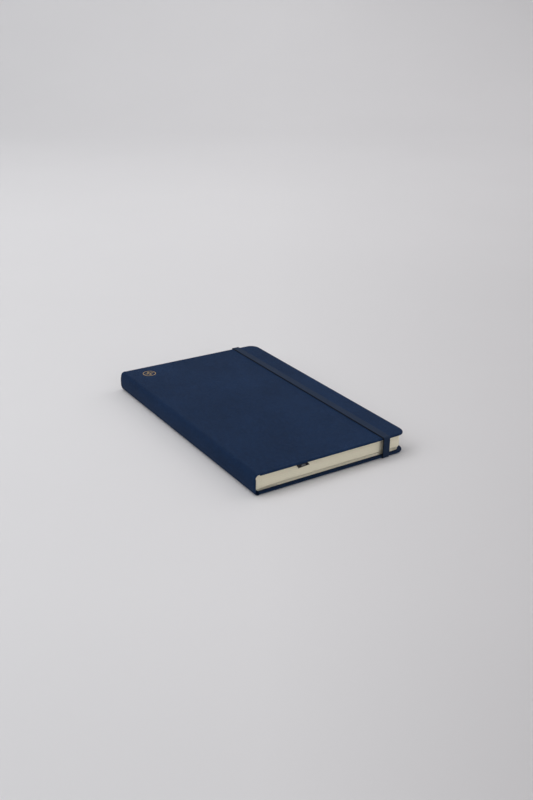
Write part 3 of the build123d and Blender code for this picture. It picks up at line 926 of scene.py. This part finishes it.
def elastic():
    """One ribbed elastic: glued tabs, slots, under, round and over the covers."""
    half_t = BAND_T / 2
    y_side = EF_HI[1] - half_t
    z_over = EF_HI[2] - half_t
    z_under = EE_LO[2] + half_t
    y_slot = EE_LO[1] + 14.0 + 0.35 - 0.35
    z_tab = EE_HI[2] - 0.19
    route = [(EE_LO[1], z_tab), (y_slot, z_tab), (y_slot, z_under),
             (y_side, z_under), (y_side, z_over), (-y_side, z_over),
             (-y_side, z_under), (-y_slot, z_under), (-y_slot, z_tab), (-EE_LO[1], z_tab)]
    radii = [0.19, 0.19, 0.40, 0.75, 0.75, 0.40, 0.19, 0.19]
    path = rounded(route, radii)
    fine = []
    for a, b in zip(path, path[1:]):
        d = (b - a).length
        k = max(1, int(d / (2.0 if d > 20 else 1.2)))
        for i in range(k):
            fine.append(a.lerp(b, i / k))
    fine.append(path[-1])
    ribs = 7
    n = 42
    verts, faces = [], []
    count = len(fine)
    for i, p in enumerate(fine):
        a, b = fine[max(i - 1, 0)], fine[min(i + 1, count - 1)]
        d = (b - a).normalized()
        nrm = Vector((d.y, -d.x))
        # thinner where it is glued under the pastedown
        in_tab = p.y > z_under + 0.3 and abs(p.x) < y_slot + 0.2 and p.y < 2
        th = 0.36 if in_tab else BAND_T
        slot = abs(abs(p.x) - y_slot) < 0.3 and p.y < 1.2
        th = 0.6 if slot else th
        top, bottom = [], []
        for k in range(n + 1):
            f = k / n
            x = BAND_X - BAND_W / 2 + BAND_W * f
            e = min(f, 1 - f) * BAND_W
            drop = 0.0
            if e < 0.22:
                drop = 0.22 - math.sqrt(max(0.22 ** 2 - (0.22 - e) ** 2, 0))
            rib = 0.045 * abs(math.sin(math.pi * ribs * f))
            h = th / 2 - 0.045 + rib - drop
            wob = 0.012 * math.sin(i * 1.9 + k * 0.9)
            top.append((x, p.x + nrm.x * h, p.y + nrm.y * (h + 0 * wob)))
            bottom.append((x, p.x - nrm.x * h, p.y - nrm.y * h))
        verts += top + bottom[::-1]
    m = 2 * (n + 1)
    for k in range(count - 1):
        for i in range(m):
            j = (i + 1) % m
            faces.append((k * m + i, k * m + j, (k + 1) * m + j, (k + 1) * m + i))
    faces.append(tuple(range(m)))
    faces.append(tuple(range((count - 1) * m, count * m)))
    return new_object("elastic_band", verts, faces, [M_ELASTIC], sharp=70)


band = elastic()
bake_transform(band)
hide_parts("band_front_run", "band_side_head", "band_side_tail",
            "band_end_head", "band_end_tail")


# ------------------------------------------------------------------ foil emblem
EM_LO, EM_HI = mm_box("cover_emblem")


def emblem():
    """Generic mark: a thin ring crossed by a four-point star, in stamped foil."""
    cx, cy = (EM_LO[0] + EM_HI[0]) / 2, (EM_LO[1] + EM_HI[1]) / 2
    R = (EM_HI[0] - EM_LO[0]) / 2 - 0.35
    z0, z1 = Z_TOP - 0.01, Z_TOP + 0.03
    verts, faces = [], []

    def band_of(outer, inner, closed=True):
        n = len(outer)
        b = len(verts)
        for loop, z in ((outer, z1), (inner, z1), (outer, z0), (inner, z0)):
            verts.extend((x, y, z) for x, y in loop)
        last = n if closed else n - 1
        for i in range(last):
            j = (i + 1) % n
            faces.append((b + i, b + j, b + n + j, b + n + i))
            faces.append((b + 2 * n + i, b + 3 * n + i, b + 3 * n + j, b + 2 * n + j))
            faces.append((b + i, b + 2 * n + i, b + 2 * n + j, b + j))
            faces.append((b + n + i, b + n + j, b + 3 * n + j, b + 3 * n + i))

    def circle(r, n=72):
        return [(cx + r * math.cos(2 * math.pi * k / n), cy + r * math.sin(2 * math.pi * k / n))
                for k in range(n)]

    band_of(circle(R - 0.02), circle(R - 0.42))

    def star(r_out, r_in, turn=0.0):
        pts = []
        for k in range(8):
            a = math.pi / 4 * k + turn
            r = r_out if k % 2 == 0 else r_in
            pts.append((cx + r * math.cos(a), cy + r * math.sin(a)))
        return pts

    band_of(star(R - 1.25, 1.15), star(R - 2.35, 0.68))
    return new_object("foil_emblem", verts, faces, [M_FOIL], sharp=40)


em = emblem()
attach(em, "front_cover")
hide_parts("cover_emblem")


# ------------------------------------------------------------------ stage
# painted light falloff on the backdrop, across the set and into its depth
PAINTED_SIDE_LIGHT_STOPS = [(0.0, (0.955, 0.957, 0.962)), (0.5, (0.93, 0.927, 0.930)),
              (1.0, (0.80, 0.792, 0.795))]
PAINTED_DEPTH_LIGHT_STOPS = [(0.0, (0.955,) * 3), (0.10, (0.955,) * 3), (0.128, (0.985,) * 3),
              (0.182, (0.96,) * 3), (0.252, (0.92,) * 3), (0.49, (0.935,) * 3),
              (0.82, (1.0,) * 3)]


def backdrop():
    """A pale seamless sheet: flat floor, curving up far behind."""
    m, t, bsdf = node_material("backdrop_paper")
    vec, x, y, z = object_xyz(t)
    cloud = noise(t, vec, 0.004, 2.0, 0.5)
    col = ramp(t, cloud, [(0.3, (0.790, 0.784, 0.796)), (0.7, (0.800, 0.794, 0.806))])
    # painted light: paler towards the left of the set and darker to the right, as if lit from
    # the left; lateral place over distance, from fixed points
    ax = math_node(t, "MULTIPLY_ADD", x, 0.839, 0.839 * 353.1)
    side = math_node(t, "MULTIPLY_ADD", y, -0.544, -0.544 * 561.9)
    side = math_node(t, "ADD", ax, side)
    bx = math_node(t, "MULTIPLY_ADD", x, 0.498, 0.498 * 353.1)
    deep = math_node(t, "MULTIPLY_ADD", y, 0.768, 0.768 * 561.9)
    deep = math_node(t, "ADD", bx, deep)
    deep = math_node(t, "ADD", deep, math_node(t, "MULTIPLY_ADD", z, -0.402, 0.402 * 307.3))
    share = math_node(t, "DIVIDE", side, math_node(t, "MAXIMUM", deep, 120.0))
    share = math_node(t, "MULTIPLY_ADD", share, 1.75, 0.5)
    col = mix_color(t, 1.0, col, ramp(t, share, PAINTED_SIDE_LIGHT_STOPS), "MULTIPLY")
    # painted light and shade by depth into the set
    far = math_node(t, "MULTIPLY", deep, 1 / 4000.0)
    col = mix_color(t, 1.0, col, ramp(t, far, PAINTED_DEPTH_LIGHT_STOPS), "MULTIPLY")
    link(t, col, bsdf.inputs["Base Color"])
    bsdf.inputs["Roughness"].default_value = 0.9
    bsdf.inputs["Specular IOR Level"].default_value = 0.15
    verts, faces = [], []
    prof = [(-2500.0, 0.0), (-600, 0.0), (0.0, 0.0), (900.0, 0.0), (1500.0, 0.0)]
    r = 1500.0
    for k in range(1, 17):
        a = math.pi / 2 * k / 16
        prof.append((1500.0 + r * math.sin(a), r - r * math.cos(a)))
    prof.append((3000.0, 5200.0))
    yaw = -0.575
    for d, z_ in prof:
        for w in (-4000.0, -1500.0, 0.0, 1500.0, 4000.0):
            x_ = d * math.sin(-yaw) + w * math.cos(-yaw)
            y_ = d * math.cos(-yaw) - w * math.sin(-yaw)
            verts.append((x_, y_, z_))
    n = 5
    for k in range(len(prof) - 1):
        for i in range(n - 1):
            faces.append((k * n + i, k * n + i + 1, (k + 1) * n + i + 1, (k + 1) * n + i))
    obj = new_object("backdrop", verts, faces, [m])
    return obj


backdrop()


def area(name, loc, target, size, power, color=(1, 1, 1), size_y=None):
    d = bpy.data.lights.new(name, "AREA")
    d.energy = power
    d.color = color
    d.shape = "RECTANGLE"
    d.size = size
    d.size_y = size_y or size
    o = bpy.data.objects.new(name, d)
    bpy.context.scene.collection.objects.link(o)
    o.location = loc
    o.rotation_euler = (Vector(target) - Vector(loc)).to_track_quat("-Z", "Y").to_euler()
    return o


area("key", (-3.3, 0.75, 2.35), (0, 0, 0), 2.8, 50.3, (1.0, 0.995, 0.99))
area("overhead", (-0.45, 0.5, 1.3), (0, 0, 0), 1.2, 5.9, (1.0, 0.997, 0.995))
area("right_fill", (2.0, 0.1, 1.2), (0, 0, 0), 1.8, 14.0, (1.0, 0.997, 0.995))
area("tail_fill", (-0.05, -2.3, 0.85), (0, 0, 0.0), 1.8, 17.0, (1.0, 0.995, 0.985))
area("backdrop_light", (0.45, 0.95, 2.3), (1.5, 2.35, 0.5), 2.2, 19.5, (1.0, 0.997, 0.995))

world = bpy.data.worlds.new("studio")
world.use_nodes = True
world.node_tree.nodes["Background"].inputs["Color"].default_value = (0.93, 0.94, 0.97, 1)
world.node_tree.nodes["Background"].inputs["Strength"].default_value = 0.25
bpy.context.scene.world = world
bpy.context.scene.view_settings.view_transform = "Standard"

# ------------------------------------------------------------------ camera
YAW, PITCH, ROLL, F_PX = 0.575, 0.414, 0.016, 935.2
pos = Vector((-0.288078 - 0.065, -0.561881, 0.307274))
fw = Vector((math.sin(YAW) * math.cos(PITCH), math.cos(YAW) * math.cos(PITCH), -math.sin(PITCH)))
right = Vector((math.cos(YAW), -math.sin(YAW), 0))
up = right.cross(fw)
r2 = right * math.cos(ROLL) + up * math.sin(ROLL)
u2 = -right * math.sin(ROLL) + up * math.cos(ROLL)
cam_data = bpy.data.cameras.new("camera")
cam_data.sensor_width = 36.0
cam_data.lens = F_PX * 36.0 / 800.0
cam_data.clip_start = 0.01
cam = bpy.data.objects.new("camera", cam_data)
bpy.context.scene.collection.objects.link(cam)
cam.matrix_world = Matrix((
    (r2.x, u2.x, -fw.x, pos.x),
    (r2.y, u2.y, -fw.y, pos.y),
    (r2.z, u2.z, -fw.z, pos.z),
    (0, 0, 0, 1),
))
bpy.context.scene.camera = cam
